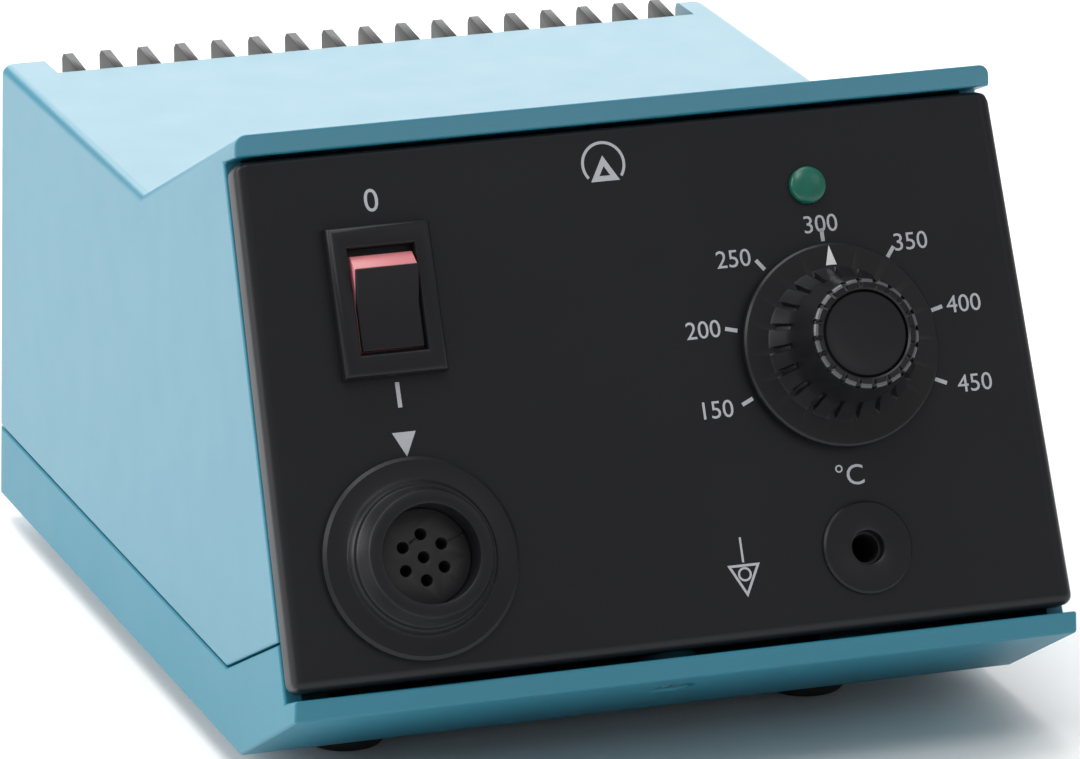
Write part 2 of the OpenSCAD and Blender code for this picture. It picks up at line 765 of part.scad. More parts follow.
module board_chip() color([0.1, 0.1, 0.1]) for (u = [-14, 0]) on_board(u, 16) block(chip_l, chip_w, chip_h);

module board_terminals() color("seagreen") for (u = [2, 16])
    on_board(u, -20) block(terminal_w, terminal_l, terminal_h);

module at_inlet() placed() translate([inlet_x, plate_y, inlet_z]) children();
// A block that runs from y0 to y1 behind the rear plate, centred on z
module deep(w, h, y0, y1, z = 0) translate([-w / 2, y0, z - h / 2]) cube([w, y1 - y0, h]);

module inlet_body() color(black) at_inlet() difference() {
    union() {
        deep(inlet_w, inlet_h, 0, flange_y);
        deep(inlet_hole_w - 2 * fit, well_h - 2 * fit, -inlet_l, 0);
    }
    deep(cavity_w, cavity_h, flange_y - cavity_d, flange_y + cut, cavity_z);
    deep(drawer_w + 2 * fit, drawer_h + 2 * fit, flange_y - drawer_l - gap, flange_y + cut, drawer_z);
    deep(drawer_w - 4, drawer_h - 1, -inlet_l + 2, 0, drawer_z);
    for (p = pin_places) translate([p.x, 0, p.y]) deep(pin_w + fit, pin_h + fit, -2 * inlet_l, 0);
}

module inlet_pins() color("silver") at_inlet() for (p = pin_places)
    translate([p.x, 0, p.y]) deep(pin_w, pin_h, -inlet_l - tail_l, 0);

module fuse_drawer() color([0.18, 0.18, 0.19]) at_inlet() difference() {
    union() {
        deep(drawer_w, drawer_h, flange_y - drawer_l, flange_y, drawer_z);
        deep(drawer_w + 2 * drawer_edge, drawer_h + 2 * drawer_edge, flange_y + fit,
            flange_y + drawer_lip, drawer_z);
        deep(drawer_w, drawer_h, flange_y, flange_y + fit, drawer_z);
    }
    deep(fuse_l + 2 * fit, drawer_h, fuse_y - fuse_r - fit, fuse_y + fuse_r + fit, drawer_z + drawer_floor);
    deep(grip_w, grip_cut, flange_y + fit, flange_y + drawer_lip + cut,
        drawer_z + (drawer_h + grip_cut) / 2);
}

module at_fuse() at_inlet()
    translate([-fuse_l / 2, fuse_y, drawer_z - drawer_h / 2 + drawer_floor + fuse_r + fit])
    rotate([0, 90, 0]) children();

module fuse_tube() color([0.8, 0.9, 0.95]) at_fuse() translate([0, 0, cap_end])
    ring(fuse_r - cap_t, fuse_r - cap_t - tube_t, fuse_l - 2 * cap_end);

module fuse_caps() color("silver") for (z = [0, fuse_l - cap_l])
    at_fuse() translate([0, 0, z]) difference() {
        cylinder(r = fuse_r, h = cap_l);
        translate([0, 0, z == 0 ? cap_end : -cut])
            cylinder(r = fuse_r - cap_t + fit / 2, h = cap_l - cap_end + cut);
    }

module fuse_clips() color("goldenrod") at_inlet() for (x = [-1, 1])
    translate([x * (fuse_l / 2 - 3.5), 0, 0])
        deep(clip_w, drawer_h - 1.5, -inlet_l + 2, flange_y - drawer_l - gap - fit, drawer_z);

top_cover();
base_tray();
front_panel();
rear_panel();
rubber_feet();
cover_screws();
panel_screw();
switch_frame();
rocker();
rocker_face();
switch_plunger();
switch_contact();
switch_terminals();
dial_knob();
knob_cap();
dial_shaft();
dial_wiper();
dial_sensor();
lamp_lens();
lamp_leads();
socket_shell();
socket_insert();
socket_contacts();
socket_nut();
jack_body();
jack_sleeve();
jack_nut();
transformer_core();
transformer_bobbin();
primary_winding();
secondary_winding();
transformer_strap();
transformer_screws();
control_board();
board_screws();
board_capacitors();
board_triac();
board_chip();
board_terminals();
inlet_body();
inlet_pins();
fuse_drawer();
fuse_tube();
fuse_caps();
fuse_clips();
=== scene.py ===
# %% [markdown]
# # A bench control unit for a soldering iron
# The unit is a two part plastic housing with a dark sloping front. The front carries a rocker
# switch, a socket for the iron, a lamp, a dial and a bonding jack, and cooling fins fill a notch
# at the rear of the top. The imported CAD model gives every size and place. This script gives the
# visible pieces their soft moulded edges, their small details, their finishes and their print.

# %% Load the frame
import json
import math

import bmesh
import bpy
from mathutils import Matrix, Vector


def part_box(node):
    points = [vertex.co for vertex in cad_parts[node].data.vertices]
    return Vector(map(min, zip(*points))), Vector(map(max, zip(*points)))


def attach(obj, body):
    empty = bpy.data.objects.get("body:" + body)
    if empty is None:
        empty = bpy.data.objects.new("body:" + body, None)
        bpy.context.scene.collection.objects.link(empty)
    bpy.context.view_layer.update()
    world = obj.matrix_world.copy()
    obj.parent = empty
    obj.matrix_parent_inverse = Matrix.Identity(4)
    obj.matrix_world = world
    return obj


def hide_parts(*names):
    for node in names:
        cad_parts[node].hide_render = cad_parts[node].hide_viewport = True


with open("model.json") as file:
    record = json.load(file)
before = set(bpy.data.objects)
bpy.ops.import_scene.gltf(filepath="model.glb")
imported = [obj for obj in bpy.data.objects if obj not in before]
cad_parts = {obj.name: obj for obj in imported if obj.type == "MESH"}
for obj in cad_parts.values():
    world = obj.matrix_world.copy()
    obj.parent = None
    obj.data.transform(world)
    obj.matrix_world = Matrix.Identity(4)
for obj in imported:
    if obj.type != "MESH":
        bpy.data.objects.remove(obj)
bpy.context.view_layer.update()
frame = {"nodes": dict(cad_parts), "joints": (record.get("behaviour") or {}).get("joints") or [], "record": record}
MM = 0.001

# %% [markdown]
# ## The camera
# A long lens far away keeps the housing's edges nearly parallel, as in a catalogue picture. The
# camera stands to the left of the unit and a little above it. Its turn is built from a turn round
# the upright axis, a tilt downwards and a very small roll, in that order.

# %% Camera
CAMERA_PLACE = Vector((-381.0, -1128.2, 410.3)) * MM
CAMERA_YAW = math.radians(18.815)
CAMERA_PITCH = math.radians(17.360)
CAMERA_ROLL = math.radians(-0.212)
CAMERA_LENS_MM = 287.7

bpy.ops.object.select_all(action="DESELECT")
bpy.ops.object.camera_add(location=CAMERA_PLACE)
camera = bpy.context.object
camera.name = "studio_camera"
turn = (
    Matrix.Rotation(-CAMERA_YAW, 4, "Z")
    @ Matrix.Rotation(math.pi / 2 - CAMERA_PITCH, 4, "X")
    @ Matrix.Rotation(CAMERA_ROLL, 4, "Z")
)
camera.rotation_euler = turn.to_euler()
camera.data.lens = CAMERA_LENS_MM
camera.data.sensor_width = 36
camera.data.clip_end = 20
bpy.context.scene.camera = camera
print("camera distance, m:", round(CAMERA_PLACE.length, 3))

# %% [markdown]
# ## Floor and light
# The unit stands on a plain white table. Soft daylight comes from all sides, and large soft boxes
# shape it: one behind the unit, whose reflection makes the top pale, one at the left, and a weak
# one in front at the right, which draws a faint gradient across the dark panel. Area lamps are
# the simplest soft boxes: a larger lamp gives a softer edge.

# %% Floor and light
FLOOR_SIDE = 6.0


def aim(thing, target):
    """Turns a lamp so that it shines at the target."""
    thing.rotation_euler = (target - thing.location).to_track_quat("-Z", "Y").to_euler()


def soft_box(name, place, size, watts, colour=(1, 1, 1), target=Vector((0, 0, 0.04))):
    """A large square lamp that shines at the unit."""
    bpy.ops.object.light_add(type="AREA", location=place)
    lamp = bpy.context.object
    lamp.name = name
    lamp.data.size = size
    lamp.data.energy = watts
    lamp.data.color = colour
    aim(lamp, target)
    return lamp


bpy.ops.mesh.primitive_grid_add(x_subdivisions=8, y_subdivisions=8, size=FLOOR_SIDE, location=(0, 0, 0))
floor = bpy.context.object
floor.name = "studio_floor"

soft_box("box_behind", Vector((0.5, 2.2, 0.9)), 1.8, 24)
soft_box("box_left", Vector((-1.6, 0.3, 0.9)), 1.2, 24)
soft_box("box_front", Vector((-0.4, -1.0, 2.2)), 0.9, 13)
soft_box("box_above", Vector((-0.2, 0.5, 1.9)), 1.4, 24)
soft_box("box_right", Vector((1.3, -1.3, 1.3)), 0.7, 1.5)

world = bpy.data.worlds.new("studio_air")
world.use_nodes = True
world.node_tree.nodes["Background"].inputs["Color"].default_value = (1, 1, 1, 1)
world.node_tree.nodes["Background"].inputs["Strength"].default_value = 0.40
bpy.context.scene.world = world
bpy.context.scene.view_settings.view_transform = "Standard"

# %% [markdown]
# ## Moulded plastics
# Nearly every surface is injection moulded plastic. A tool maker spark-erodes the mould, which
# leaves a grain of a fraction of a millimetre, and the flow of the plastic leaves faint broad
# shade changes. One helper builds both from noise in object coordinates, so the grain has the
# same size on every piece, and each finish then only names its own colour, gloss and grain.

# %% Helper for moulded plastic


def shade(colour, factor):
    """A colour made lighter or darker by a factor, with full opacity."""
    return tuple(min(c * factor, 1) for c in colour) + (1,)


def noise(tree, size_mm, detail=2.0, stretch=(1, 1, 1)):
    """A noise whose blobs are about size_mm across, in object coordinates."""
    place = tree.nodes.new("ShaderNodeTexCoord")
    squeeze = tree.nodes.new("ShaderNodeMapping")
    squeeze.inputs["Scale"].default_value = stretch
    field = tree.nodes.new("ShaderNodeTexNoise")
    field.inputs["Scale"].default_value = 1 / (size_mm * MM)
    field.inputs["Detail"].default_value = detail
    tree.links.new(place.outputs["Object"], squeeze.inputs["Vector"])
    tree.links.new(squeeze.outputs["Vector"], field.inputs["Vector"])
    return field.outputs["Fac"]


def spread(tree, value, low, high):
    """Stretches the middle of a noise to run from low to high."""
    reach = tree.nodes.new("ShaderNodeMapRange")
    reach.inputs["From Min"].default_value = 0.3
    reach.inputs["From Max"].default_value = 0.7
    reach.inputs["To Min"].default_value = low
    reach.inputs["To Max"].default_value = high
    tree.links.new(value, reach.inputs["Value"])
    return reach.outputs["Result"]


def two_tone(tree, value, dark, light):
    """A ramp between two shades."""
    ramp = tree.nodes.new("ShaderNodeValToRGB")
    ramp.color_ramp.elements[0].position = 0.3
    ramp.color_ramp.elements[0].color = dark
    ramp.color_ramp.elements[1].position = 0.7
    ramp.color_ramp.elements[1].color = light
    tree.links.new(value, ramp.inputs["Fac"])
    return ramp.outputs["Color"]


def relief(tree, value, depth_mm, strength=1.0):
    """Turns a height pattern into a bump of the given depth."""
    bump = tree.nodes.new("ShaderNodeBump")
    bump.inputs["Strength"].default_value = strength
    bump.inputs["Distance"].default_value = depth_mm * MM
    tree.links.new(value, bump.inputs["Height"])
    return bump.outputs["Normal"]


def finish(name, colour, rough, metal=0.0, specular=0.5):
    """A new material, its node tree and its shader."""
    made = bpy.data.materials.new(name)
    made.use_nodes = True
    shader = made.node_tree.nodes["Principled BSDF"]
    shader.inputs["Base Color"].default_value = shade(colour, 1)
    shader.inputs["Roughness"].default_value = rough
    shader.inputs["Metallic"].default_value = metal
    shader.inputs["Specular IOR Level"].default_value = specular
    return made, made.node_tree, shader


def moulded(name, colour, rough, grain_mm, depth_mm, drift=0.05, specular=0.5):
    """Moulded plastic with a spark-eroded grain, flow shades and a wandering gloss."""
    made, tree, shader = finish(name, colour, rough, specular=specular)
    flow = noise(tree, 45, 3)
    tone = two_tone(tree, flow, shade(colour, 1 - drift), shade(colour, 1 + drift))
    tree.links.new(tone, shader.inputs["Base Color"])
    gloss = spread(tree, noise(tree, 9, 4), rough - 0.015, rough + 0.015)
    tree.links.new(gloss, shader.inputs["Roughness"])
    tree.links.new(relief(tree, noise(tree, grain_mm, 3), depth_mm), shader.inputs["Normal"])
    return made


FINISHES = {
    "teal_housing": moulded("teal_housing", (0.018, 0.190, 0.275), 0.38, 0.35, 0.010, 0.015, 0.6),
    # A darker copy of the housing teal for the tray: painted shade on its lower lip and underside.
    "teal_base_shaded": moulded("teal_base_shaded", (0.014, 0.180, 0.258), 0.42, 0.35, 0.010, 0.015, 0.5),
    "black_panel": moulded("black_panel", (0.0075, 0.0078, 0.0100), 0.38, 0.30, 0.010, 0.10, 0.30),
    "black_moulding": moulded("black_moulding", (0.0070, 0.0072, 0.0090), 0.40, 0.30, 0.008, 0.10, 0.30),
    "knob_plastic": moulded("knob_plastic", (0.0075, 0.0076, 0.0090), 0.34, 0.30, 0.008, 0.10, 0.32),
    # A lighter copy of the knob's black: a painted highlight on the crown's teeth.
    "knob_crown": moulded("knob_crown", (0.075, 0.075, 0.082), 0.32, 0.30, 0.004, 0.10, 0.6),
    "insert_plastic": moulded("insert_plastic", (0.020, 0.020, 0.022), 0.48, 0.35, 0.010, 0.08, 0.35),
    "foot_rubber": moulded("foot_rubber", (0.013, 0.013, 0.014), 0.72, 0.8, 0.05, 0.15, 0.3),
    "red_rocker": moulded("red_rocker", (0.64, 0.21, 0.23), 0.34, 0.5, 0.006, 0.05),
    "nylon": moulded("nylon", (0.70, 0.68, 0.58), 0.45, 0.5, 0.01, 0.04),
    "board_laminate": moulded("board_laminate", (0.02, 0.16, 0.07), 0.35, 0.6, 0.02, 0.12),
    "capacitor_sleeve": moulded("capacitor_sleeve", (0.03, 0.07, 0.22), 0.25, 0.6, 0.004, 0.06),
    "chip_epoxy": moulded("chip_epoxy", (0.025, 0.025, 0.027), 0.55, 0.2, 0.02, 0.10),
    "terminal_green": moulded("terminal_green", (0.05, 0.32, 0.14), 0.4, 0.4, 0.01, 0.06),
    "enamel_wire": moulded("enamel_wire", (0.42, 0.17, 0.07), 0.4, 0.5, 0.08, 0.15),
}
shader = FINISHES["teal_housing"].node_tree.nodes["Principled BSDF"]
shader.inputs["Coat Weight"].default_value = 0.25
shader.inputs["Coat Roughness"].default_value = 0.35
print("plastics:", len(FINISHES))

# %% [markdown]
# ## Metals, lens and glass
# The screws and clips are plated steel, whose fine drawn lines show as a stretched noise in the
# roughness. The core's edge shows its stacked sheets. The lamp's lens is a tinted plastic that
# lets some light in, so it gets a little transmission.

# %% Metals, lens and glass


def drawn_metal(name, colour, rough, stretch=(1, 1, 12)):
    """Plated metal with drawn lines in its gloss and a faint tarnish."""
    made, tree, shader = finish(name, colour, rough, metal=1.0)
    lines = noise(tree, 1.2, 4, stretch)
    tree.links.new(spread(tree, lines, rough - 0.08, rough + 0.10), shader.inputs["Roughness"])
    tarnish = two_tone(tree, noise(tree, 6, 3), shade(colour, 0.85), shade(colour, 1.05))
    tree.links.new(tarnish, shader.inputs["Base Color"])
    tree.links.new(relief(tree, lines, 0.005), shader.inputs["Normal"])
    return made


def stacked_steel(name, colour, sheet_mm):
    """Varnished transformer sheets: thin dark lines across the stack."""
    made, tree, shader = finish(name, colour, 0.45, metal=0.6)
    place = tree.nodes.new("ShaderNodeTexCoord")
    bands = tree.nodes.new("ShaderNodeTexWave")
    bands.bands_direction = "Y"
    bands.inputs["Scale"].default_value = 1 / (sheet_mm * MM) / 20
    bands.inputs["Distortion"].default_value = 0.4
    tree.links.new(place.outputs["Object"], bands.inputs["Vector"])
    tone = two_tone(tree, bands.outputs["Fac"], shade(colour, 0.5), shade(colour, 1.3))
    tree.links.new(tone, shader.inputs["Base Color"])
    tree.links.new(relief(tree, bands.outputs["Fac"], 0.1), shader.inputs["Normal"])
    return made


def clear_tint(name, colour, rough, clear):
    """Tinted clear plastic or glass with a faintly uneven surface."""
    made, tree, shader = finish(name, colour, rough)
    shader.inputs["Transmission Weight"].default_value = clear
    shader.inputs["IOR"].default_value = 1.5
    tone = two_tone(tree, noise(tree, 2.5, 2), shade(colour, 0.9), shade(colour, 1.1))
    tree.links.new(tone, shader.inputs["Base Color"])
    tree.links.new(relief(tree, noise(tree, 1.5, 2), 0.01), shader.inputs["Normal"])
    return made


FINISHES["zinc_steel"] = drawn_metal("zinc_steel", (0.62, 0.63, 0.64), 0.3)
FINISHES["brass"] = drawn_metal("brass", (0.72, 0.52, 0.22), 0.28)
FINISHES["tinned_wire"] = drawn_metal("tinned_wire", (0.72, 0.72, 0.70), 0.32)
FINISHES["core_steel"] = stacked_steel("core_steel", (0.10, 0.10, 0.11), 0.5)
FINISHES["green_lens"] = clear_tint("green_lens", (0.004, 0.145, 0.095), 0.3, 0.25)
FINISHES["fuse_glass"] = clear_tint("fuse_glass", (0.85, 0.92, 0.94), 0.05, 0.9)
WHITE_PRINT = moulded("white_print", (0.42, 0.42, 0.46), 0.5, 0.15, 0.004, 0.06)
POINTER_PRINT = moulded("pointer_print", (0.75, 0.75, 0.76), 0.5, 0.15, 0.004, 0.06)
FLOOR_PAINT = moulded("floor_paint", (0.93, 0.93, 0.93), 0.6, 1.5, 0.01, 0.005)
floor.data.materials.append(FLOOR_PAINT)
print("finishes:", len(FINISHES))

# %% [markdown]
# Every CAD node already rides on its body and has the record's material slot. Each one gets the
# finish of that name, so that also the pieces inside look right when a cover is lifted. The jack's
# sleeve alone gets the dark insert plastic instead: painted shade in the jack's bore.

# %% Dress the CAD nodes
slot_of = {part["node"]: part["material_slot"] for part in frame["record"]["subparts"]}
for node, thing in frame["nodes"].items():
    thing.data.materials.clear()
    # The jack's sleeve gets dark plastic: painted shade inside the jack's bore.
    thing.data.materials.append(FINISHES["insert_plastic" if node == "jack_sleeve" else slot_of[node]])
print("nodes dressed:", len(frame["nodes"]))

# %% [markdown]
# ## The panel's own directions
# Everything on the front is drawn square to the panel, so it is easiest to build it lying flat,
# with x across, y up the slope and z out of the face, and to turn it into place at the end. The
# dial's axis gives the slope, and the panel's CAD node gives its lower edge.

# %% Panel frame
dial_joint = next(j for j in frame["joints"] if j["name"] == "dial_turn")
out = Vector(dial_joint["axis"]).normalized()
across = Vector((1, 0, 0))
PANEL = Matrix((across, out.cross(across), out)).transposed().to_4x4()
PANEL.translation = Vector(dial_joint["pos_m"])


def panel_box(node):
    """Lowest and highest corner of a CAD node in the panel's own directions."""
    back = PANEL.inverted()
    points = [back @ v.co for v in frame["nodes"][node].data.vertices]
    low = Vector([min(p[i] for p in points) for i in range(3)])
    high = Vector([max(p[i] for p in points) for i in range(3)])
    return low, high


low, high = panel_box("front_panel")
PANEL.translation = PANEL @ Vector((-PANEL.translation.x, low.y, 0))
low, high = panel_box("front_panel")
PANEL_W, PANEL_L = 2 * high.x, high.y
print("panel, mm:", round(PANEL_W / MM, 2), "x", round(PANEL_L / MM, 2))


def panel_middle(node):
    """The middle of a CAD node across and up the panel."""
    low, high = panel_box(node)
    return (low.x + high.x) / 2, (low.y + high.y) / 2


# %% [markdown]
# ## Helpers for hand work
# The pieces are shaped as by hand: add a primitive, go into edit mode, pick faces or edges by
# where they are, and run one tool. These helpers only pick and tidy; the shaping stays visible in
# each piece's own cell.

# %% Edit helpers


def open_piece():
    """Edit mode on the active piece, with nothing picked."""
    bpy.ops.object.mode_set(mode="EDIT")
    bpy.ops.mesh.select_all(action="DESELECT")


def pick(kind, test):
    """Picks the faces, edges or verts whose place passes the test. Faces also give their normal."""
    bpy.ops.mesh.select_mode(type=kind)
    mesh = bmesh.from_edit_mesh(bpy.context.object.data)
    mesh.normal_update()
    for face in mesh.faces:
        face.select_set(False)
    for edge in mesh.edges:
        edge.select_set(False)
    count = 0
    if kind == "FACE":
        items = [f for f in mesh.faces if test(f.calc_center_median(), f.normal)]
    elif kind == "EDGE":
        items = [e for e in mesh.edges if test(e.verts[0].co, e.verts[1].co)]
    else:
        items = [v for v in mesh.verts if test(v.co)]
    for item in items:
        item.select_set(True)
        count += 1
    mesh.select_flush_mode()
    bmesh.update_edit_mesh(bpy.context.object.data)
    return count


def soften(width_mm, segments=2, angle=30):
    """Rounds every sharp edge of the active piece with a bevel modifier, and applies it."""
    bpy.ops.object.mode_set(mode="OBJECT")
    rounding = bpy.context.object.modifiers.new("rounding", "BEVEL")
    rounding.width = width_mm * MM
    rounding.segments = segments
    rounding.limit_method = "ANGLE"
    rounding.angle_limit = math.radians(angle)
    bpy.ops.object.modifier_apply(modifier="rounding")


def close_piece(name, material, body, replaces=(), place=None, smooth=35):
    """Names the active piece, moves its place into its mesh, and hangs it on its body."""
    bpy.ops.object.mode_set(mode="OBJECT")
    piece = bpy.context.object
    piece.name = name
    piece.data.name = name
    if place is not None:
        piece.matrix_world = place @ piece.matrix_world
    bpy.ops.object.select_all(action="DESELECT")
    piece.select_set(True)
    bpy.context.view_layer.objects.active = piece
    bpy.ops.object.transform_apply(location=True, rotation=True, scale=True)
    bpy.ops.object.shade_smooth_by_angle(angle=math.radians(smooth))
    piece.data.materials.clear()
    piece.data.materials.append(material)
    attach(piece, body)
    if replaces:
        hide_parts(*replaces)
    print(f"{name}: {len(piece.data.polygons)} faces, on {body}")
    return piece


def keep_flats():
    """Lets the large flat faces of the active piece set the shading, not the small rounded ones."""
    weighing = bpy.context.object.modifiers.new("flats", "WEIGHTED_NORMAL")
    weighing.keep_sharp = True
    bpy.ops.object.modifier_apply(modifier="flats")


def copy_of_node(node, heart=None, whole=True):
    """A separate copy of a CAD node's mesh, merged, with its flat faces made whole again.
    With a heart, only the faces that look away from it are made whole."""
    bpy.ops.object.select_all(action="DESELECT")
    piece = bpy.data.objects.new("copy", frame["nodes"][node].data.copy())
    bpy.context.scene.collection.objects.link(piece)
    bpy.context.view_layer.objects.active = piece
    piece.select_set(True)
    bpy.ops.mesh.customdata_custom_splitnormals_clear()
    bpy.ops.object.mode_set(mode="EDIT")
    bpy.ops.mesh.select_all(action="SELECT")
    bpy.ops.mesh.remove_doubles(threshold=1e-6)
    if heart is not None:
        pick("FACE", lambda c, n: n.dot(c - heart) > 0)
    if whole:
        bpy.ops.mesh.dissolve_limited(angle_limit=math.radians(0.5))
    bpy.ops.mesh.select_all(action="DESELECT")
    return piece


def is_inner_wall(face):
    """Whether a face of a shell looks across at the opposite side wall."""
    return abs(face.normal.x) > 0.9 and face.normal.x * face.calc_center_median().x < 0


def pick_outer_edges(heart, least_area_mm2=60, sharp=25, test=None):
    """Picks the sharp edges of the large faces that look away from the heart of a shell."""
    bpy.ops.mesh.select_mode(type="EDGE")
    mesh = bmesh.from_edit_mesh(bpy.context.object.data)
    mesh.normal_update()
    outer = set()
    for face in mesh.faces:
        away = face.calc_center_median() - heart
        if face.normal.dot(away) > 0 and face.calc_area() > least_area_mm2 * MM * MM:
            outer.add(face.index)
    count = 0
    for edge in mesh.edges:
        picked = (
            len(edge.link_faces) == 2
            and edge.calc_face_angle() > math.radians(sharp)
            and any(f.index in outer for f in edge.link_faces)
            and (test is None or test(edge.verts[0].co, edge.verts[1].co))
            and not any(is_inner_wall(f) for f in edge.link_faces)
        )
        edge.select_set(picked)
        count += picked
    bmesh.update_edit_mesh(bpy.context.object.data)
    return count


# %% [markdown]
# ## Cover, base and rear panel
# These are thin moulded shells whose outline, draft, screw posts and openings are fixed by the
# CAD. They could be drawn again from cubes, but a copy of the CAD mesh keeps every opening in its
# exact place. The copy's doubles are merged and its flat faces joined, and then the outer edges
# get the small radius that every real mould has, because a mould's cutter is round and a sharp
# edge would chip.

# %% Cover and base
ROOF_EDGE_MM = 1.5
SEAM_EDGE_MM = 0.4
BASE_EDGE_MM = 0.4
SEAM_GAP_MM = 0.3
SEAM_RISE_MM = 13
shell_low, shell_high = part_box("top_cover")
heart = Vector((0, 0, (shell_low.z + shell_high.z) / 2))
JOINT_Z = shell_low.z
REAR_Y = shell_high.y
SIDE_X = 53 * MM


def in_notch(a, b):
    """Whether an edge lies in the notch for the fins, ahead of the rear face."""
    return max(abs(a.x), abs(b.x)) < SIDE_X and min(a.y, b.y) < REAR_Y - 0.1 * MM


def on_roof_side(a, b):
    """Whether an edge of the roof lies at a side, or beside the notch at the rear."""
    run = b - a
    high = min(a.z, b.z) > JOINT_Z + 20 * MM and abs(run.z) < 0.7 * run.length
    at_rear = min(a.y, b.y) > REAR_Y - 3 * MM
    at_side = max(a.y, b.y) > REAR_Y - 100 * MM and abs(run.y) > abs(run.x)
    return high and (at_rear or at_side) and min(abs(a.x), abs(b.x)) > 49 * MM and not in_notch(a, b)


def beside_panel(a, b):
    """Whether an edge lies at the front of the cover's side walls or on its lip."""
    return max(a.y, b.y) < REAR_Y - 70 * MM


copy_of_node("top_cover", heart)
pick("FACE", lambda c, n: n.z < -0.7 and c.z < JOINT_Z + SEAM_RISE_MM * MM)
bpy.ops.transform.translate(value=(0, 0, SEAM_GAP_MM * MM))
found = pick_outer_edges(heart, test=on_roof_side)
bpy.ops.mesh.bevel(offset=ROOF_EDGE_MM * MM, segments=6, affect="EDGES", clamp_overlap=False)
print("  roof edges:", found)
found = pick_outer_edges(heart, test=lambda a, b: min(a.z, b.z) < JOINT_Z + 20 * MM or beside_panel(a, b))
bpy.ops.mesh.bevel(offset=SEAM_EDGE_MM * MM, segments=5, affect="EDGES", clamp_overlap=False)
print("  seam and front edges:", found)
close_piece("cover_shell", FINISHES["teal_housing"], "station", ["top_cover"], smooth=20)
keep_flats()

copy_of_node("base_tray", heart)
found = pick_outer_edges(heart)
bpy.ops.mesh.bevel(offset=BASE_EDGE_MM * MM, segments=5, affect="EDGES", clamp_overlap=False)
print("  base edges:", found)
# The tray's darker teal is painted shade.
close_piece("base_shell", FINISHES["teal_base_shaded"], "station", ["base_tray"], smooth=20)
keep_flats()

# %% Rear panel
REAR_EDGE_MM = 0.2
copy_of_node("rear_panel", whole=False)
found = pick_outer_edges(heart, 5)
bpy.ops.mesh.bevel(offset=REAR_EDGE_MM * MM, segments=2, affect="EDGES", clamp_overlap=False)
close_piece("rear_fins", FINISHES["black_moulding"], "station", ["rear_panel"])
print("  rounded edges:", found)

# %% Front panel
PANEL_EDGE_MM = 1.7
SURFACE_MM = 0.05
copy_of_node("front_panel")
back = PANEL.inverted()


def on_corner(a, b):
    """Whether an edge is one of the panel's four outer corners."""
    ends = [back @ a, back @ b]
    ahead = all(p.z > -6 * MM for p in ends)
    return ahead and all(abs(p.x) > PANEL_W / 2 - 3 * MM and (p.y < MM or p.y > PANEL_L - MM) for p in ends)


def on_rim(a, b):
    """Whether an edge belongs to the outline of the panel's face."""
    ends = [back @ a, back @ b]
    flat = all(abs(p.z) < SURFACE_MM * MM for p in ends)
    side = all(p.y < MM or p.y > PANEL_L - MM for p in ends) or all(abs(p.x) > PANEL_W / 2 - 3 * MM for p in ends)
    return flat and side


found = pick("EDGE", lambda a, b: on_rim(a, b) or on_corner(a, b))
bpy.ops.mesh.bevel(offset=PANEL_EDGE_MM * MM, segments=5, affect="EDGES", clamp_overlap=False)
close_piece("dark_panel", FINISHES["black_panel"], "station", ["front_panel"])
keep_flats()
print("  rounded edges:", found)

# %% [markdown]
# ## Turned pieces
# Knobs, sockets, feet, lenses and screw heads are round. A lathe hand would cut them along one
# profile, and so does this helper: it starts from a bare circle and extrudes it ring by ring to
# each radius and height of the profile. A profile that comes back to its start makes a closed
# ring, and any other gets its two ends filled.

# %% Turning helper


def turned(profile, points=96):
    """A round piece on the z axis from a list of (radius, height) in mm, left in edit mode."""
    radius, height = profile[0]
    bpy.ops.object.select_all(action="DESELECT")
    bpy.ops.mesh.primitive_circle_add(
        vertices=points, radius=radius * MM, fill_type="NOTHING", location=(0, 0, height * MM)
    )
    bpy.ops.object.mode_set(mode="EDIT")
    bpy.ops.mesh.select_all(action="SELECT")
    for next_radius, next_height in profile[1:]:
        step = (0, 0, (next_height - height) * MM)
        bpy.ops.mesh.extrude_region_move(TRANSFORM_OT_translate={"value": step})
        grow = next_radius / radius
        bpy.ops.transform.resize(value=(grow, grow, 1), center_override=(0, 0, next_height * MM))
        radius, height = next_radius, next_height
    bpy.ops.mesh.select_all(action="SELECT")
    if profile[0] == profile[-1]:
        bpy.ops.mesh.remove_doubles(threshold=1e-6)
    else:
        bpy.ops.mesh.fill_holes(sides=0)
    bpy.ops.mesh.normals_make_consistent(inside=False)
    bpy.ops.mesh.select_all(action="DESELECT")
    return bpy.context.object


def on_panel(u, v, h=0.0):
    """The matrix that puts a piece built at the origin onto the panel."""
    return PANEL @ Matrix.Translation((u, v, h))


# %% [markdown]
# ## The dial
# A wide thin skirt carries the pointer. The grip above it flares out at its foot, so that the
# fingers find it, and narrow grooves divide it into twenty ribs. The grooves could be cut with
# twenty booleans, but the ring has twelve points for each rib, so pulling three of every twelve
# points a little towards the axis gives the same grooves with clean faces.

